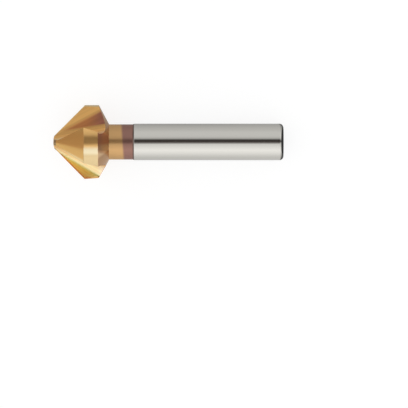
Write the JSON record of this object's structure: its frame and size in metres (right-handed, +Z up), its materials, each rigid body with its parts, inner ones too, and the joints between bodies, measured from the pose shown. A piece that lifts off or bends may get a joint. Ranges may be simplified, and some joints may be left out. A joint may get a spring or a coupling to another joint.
{
  "type": "countersink bit",
  "caption": "Three-flute countersink with a 90 degree cutting cone, a short cylindrical land and a straight shank, for bevelling hole mouths and seating flat-head screws in metal.",
  "frame": {"origin": "On the surface the bit lies on, under the middle of its length.", "axes": "+X runs along the bit from its tip to its shank, +Z is up from the surface, and +Y completes the frame. The bit lies on two teeth and on the end of its shank, so its axis slopes down to the shank by 4.4 degrees."},
  "size_m": [0.0632, 0.0203, 0.0192],
  "materials": {
    "tool_steel": "ground, the head with a gold coloured coating"
  },
  "bodies": {
    "root": {"countersink_bit": "tool_steel"}
  },
  "joints": []
}
